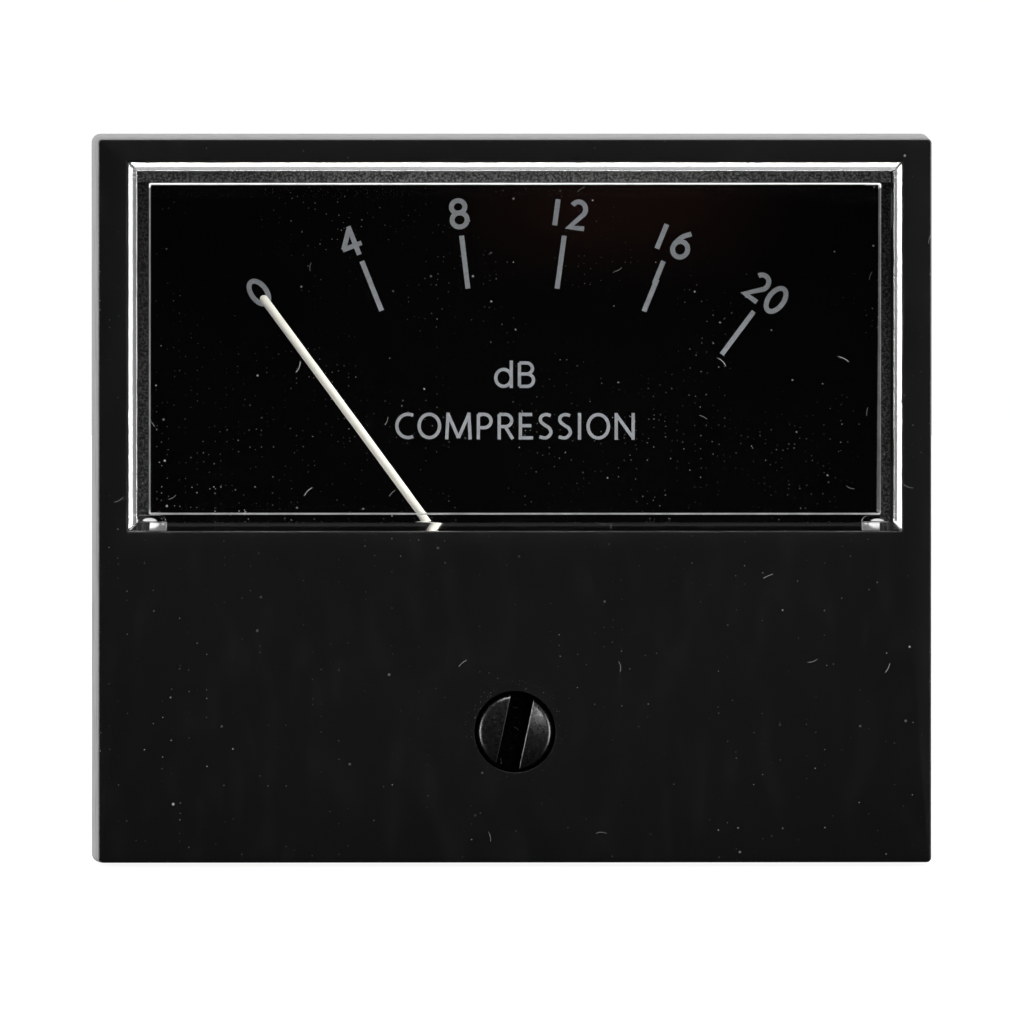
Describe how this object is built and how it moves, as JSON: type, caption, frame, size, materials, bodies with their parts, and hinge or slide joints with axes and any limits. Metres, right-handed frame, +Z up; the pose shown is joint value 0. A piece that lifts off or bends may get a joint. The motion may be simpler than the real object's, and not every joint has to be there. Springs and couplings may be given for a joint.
{
  "type": "moving-coil panel meter",
  "caption": "Square-cornered black panel meter for a rack compressor, with a raised clear window, swinging pointer, slotted zero screw and a round barrel behind the panel.",
  "frame": {"origin": "where the barrel's axis meets the panel's front surface, on the flange's rear face", "axes": "+X right and +Z up as seen from the front, +Y back through the panel"},
  "size_m": [0.043, 0.0372, 0.0374],
  "materials": {
    "cover_abs": "fine satin moulded",
    "clear_acrylic": "polished clear",
    "case_phenolic": "matte moulded",
    "zinc_steel": "zinc plated",
    "nickel_brass": "nickel-washed brass",
    "tinned_brass": "tinned",
    "adjuster_nylon": "semi-gloss",
    "spring_steel": "bright spring steel",
    "spring_brass": "pressed, unlacquered",
    "alnico": "ground",
    "soft_iron": "turned, bright",
    "die_cast": "die cast",
    "bridge_brass": "stamped",
    "screw_brass": "turned",
    "jewel": "polished",
    "red_fibre": "vulcanised fibre",
    "scale_black": "matt black coated, grey print",
    "stop_rubber": "soft sleeve",
    "red_pvc": "insulated",
    "black_pvc": "insulated",
    "former_aluminium": "folded foil",
    "enamelled_copper": "enamelled wire, varnished",
    "pointer_paint": "painted ivory",
    "pivot_steel": "hardened, polished",
    "spring_bronze": "phosphor bronze strip"
  },
  "bodies": {
    "root": {"front_cover": "cover_abs", "window_lens": "clear_acrylic", "rear_case": "case_phenolic", "cover_screws": "zinc_steel", "panel_studs": "zinc_steel", "terminal_studs": "nickel_brass", "terminal_inner_tags": "tinned_brass", "terminal_washers": "nickel_brass", "solder_tags": "tinned_brass", "terminal_nuts": "nickel_brass", "core_magnet": "alnico", "yoke_ring": "soft_iron", "core_holder": "die_cast", "movement_frame": "die_cast", "front_bridge": "bridge_brass", "rear_bridge": "bridge_brass", "bridge_screws": "zinc_steel", "front_jewel_screw": "screw_brass", "rear_jewel_screw": "screw_brass", "front_jewel": "jewel", "rear_jewel": "jewel", "front_lock_nut": "screw_brass", "rear_lock_nut": "screw_brass", "insulating_washers": "red_fibre", "rear_abutment": "spring_brass", "scale_plate": "scale_black", "scale_screws": "zinc_steel", "stop_pins": "spring_steel", "stop_sleeves": "stop_rubber", "lead_wire_positive": "red_pvc", "lead_wire_negative": "black_pvc"},
    "zero_adjuster": {"zero_adjuster": "adjuster_nylon", "adjuster_clip": "spring_steel"},
    "zero_lever": {"zero_lever": "spring_brass"},
    "moving_coil": {"coil_former": "former_aluminium", "coil_winding": "enamelled_copper", "pointer_hub": "former_aluminium", "balance_weights": "tinned_brass", "pointer": "pointer_paint", "front_pivot": "pivot_steel", "rear_pivot": "pivot_steel", "spring_collets": "screw_brass", "front_hairspring": "spring_bronze", "rear_hairspring": "spring_bronze"}
  },
  "joints": [
    {"name": "zero_adjuster_turn", "type": "hinge", "parent": "root", "child": "zero_adjuster", "pos_m": [0, -0.0085, -0.01179], "axis": [0, 1, 0], "range_deg": [-30, 30]},
    {"name": "zero_lever_swing", "type": "hinge", "parent": "root", "child": "zero_lever", "pos_m": [0, -0.0044, -0.00715], "axis": [0, 1, 0], "range_deg": [-3.7, 3.7]},
    {"name": "pointer_swing", "type": "hinge", "parent": "zero_lever", "child": "moving_coil", "pos_m": [0, 0.002, -0.00715], "axis": [0, 1, 0], "range_deg": [-1.2, 73.6], "deforming": ["front_hairspring", "rear_hairspring"]}
  ],
  "couplings": [
    {"joint": "zero_lever_swing", "follows": "zero_adjuster_turn", "ratio": -0.12077}
  ]
}
